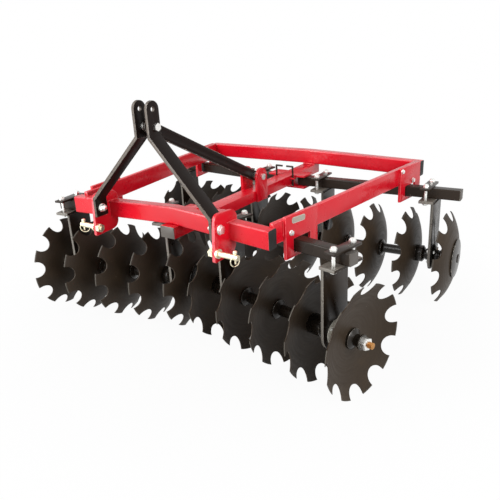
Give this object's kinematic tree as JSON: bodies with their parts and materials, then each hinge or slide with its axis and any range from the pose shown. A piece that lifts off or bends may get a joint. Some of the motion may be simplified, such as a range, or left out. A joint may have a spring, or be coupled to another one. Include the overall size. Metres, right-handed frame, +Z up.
{
  "type": "disc harrow",
  "caption": "Mounted tandem disc harrow: four gangs of notched concave discs under a rectangular steel frame with an A-shaped hitch mast, brace and lower link pins.",
  "frame": {"origin": "on the ground under the middle of the machine's bounding box", "axes": "+X is across the machine, to the right in a view from the tractor end; -Y points to the tractor; +Z is up"},
  "size_m": [1.8514, 1.4234, 1.1054],
  "materials": {
    "black": "satin black paint, scuffed",
    "disc_steel": "dark brown-grey lacquered steel",
    "plug": "matt black",
    "red": "gloss red paint, worn lightly",
    "yellow_zinc": "yellow zinc plated",
    "zinc": "zinc plated, satin"
  },
  "bodies": {
    "frame": {"brace_lugs": "red", "centre_bar": "red", "front_bar": "red", "front_bearings": "black", "front_centre_bracket": "red", "front_clamps": "black", "front_corner_brackets": "red", "front_gang_bars": "black", "front_standards": "black", "left_hitch_pin": "yellow_zinc", "left_hitch_plate": "red", "left_mast_leg": "black", "left_side_rail": "red", "lock_pins": "black", "lug_bolt": "zinc", "mast_bolt": "zinc", "mast_brace": "black", "rear_bar": "red", "rear_bearings": "black", "rear_centre_bracket": "red", "rear_clamps": "black", "rear_corner_brackets": "red", "rear_gang_bars": "black", "rear_spacer": "red", "rear_standards": "black", "right_hitch_pin": "yellow_zinc", "right_hitch_plate": "red", "right_mast_leg": "black", "right_side_rail": "red", "tube_plugs": "plug"},
    "gang_front_right": {"front_right_discs": "disc_steel", "front_right_spools": "black", "front_right_axle": "black"},
    "gang_front_left": {"front_left_discs": "disc_steel", "front_left_spools": "black", "front_left_axle": "black"},
    "gang_rear_right": {"rear_right_discs": "disc_steel", "rear_right_spools": "black", "rear_right_axle": "black"},
    "gang_rear_left": {"rear_left_discs": "disc_steel", "rear_left_spools": "black", "rear_left_axle": "black"}
  },
  "joints": [
    {"name": "gang_front_right_turn", "type": "hinge", "parent": "frame", "child": "gang_front_right", "pos_m": [0.807, -0.47659, 0.2286], "axis": [0.9836, -0.1805, 0], "continuous": true},
    {"name": "gang_front_left_turn", "type": "hinge", "parent": "frame", "child": "gang_front_left", "pos_m": [-0.807, -0.47659, 0.2286], "axis": [-0.9836, -0.1805, 0], "continuous": true},
    {"name": "gang_rear_right_turn", "type": "hinge", "parent": "frame", "child": "gang_rear_right", "pos_m": [0.906, 0.48741, 0.2286], "axis": [0.9976, 0.0698, 0], "continuous": true},
    {"name": "gang_rear_left_turn", "type": "hinge", "parent": "frame", "child": "gang_rear_left", "pos_m": [-0.906, 0.48741, 0.2286], "axis": [-0.9976, 0.0698, 0], "continuous": true}
  ]
}
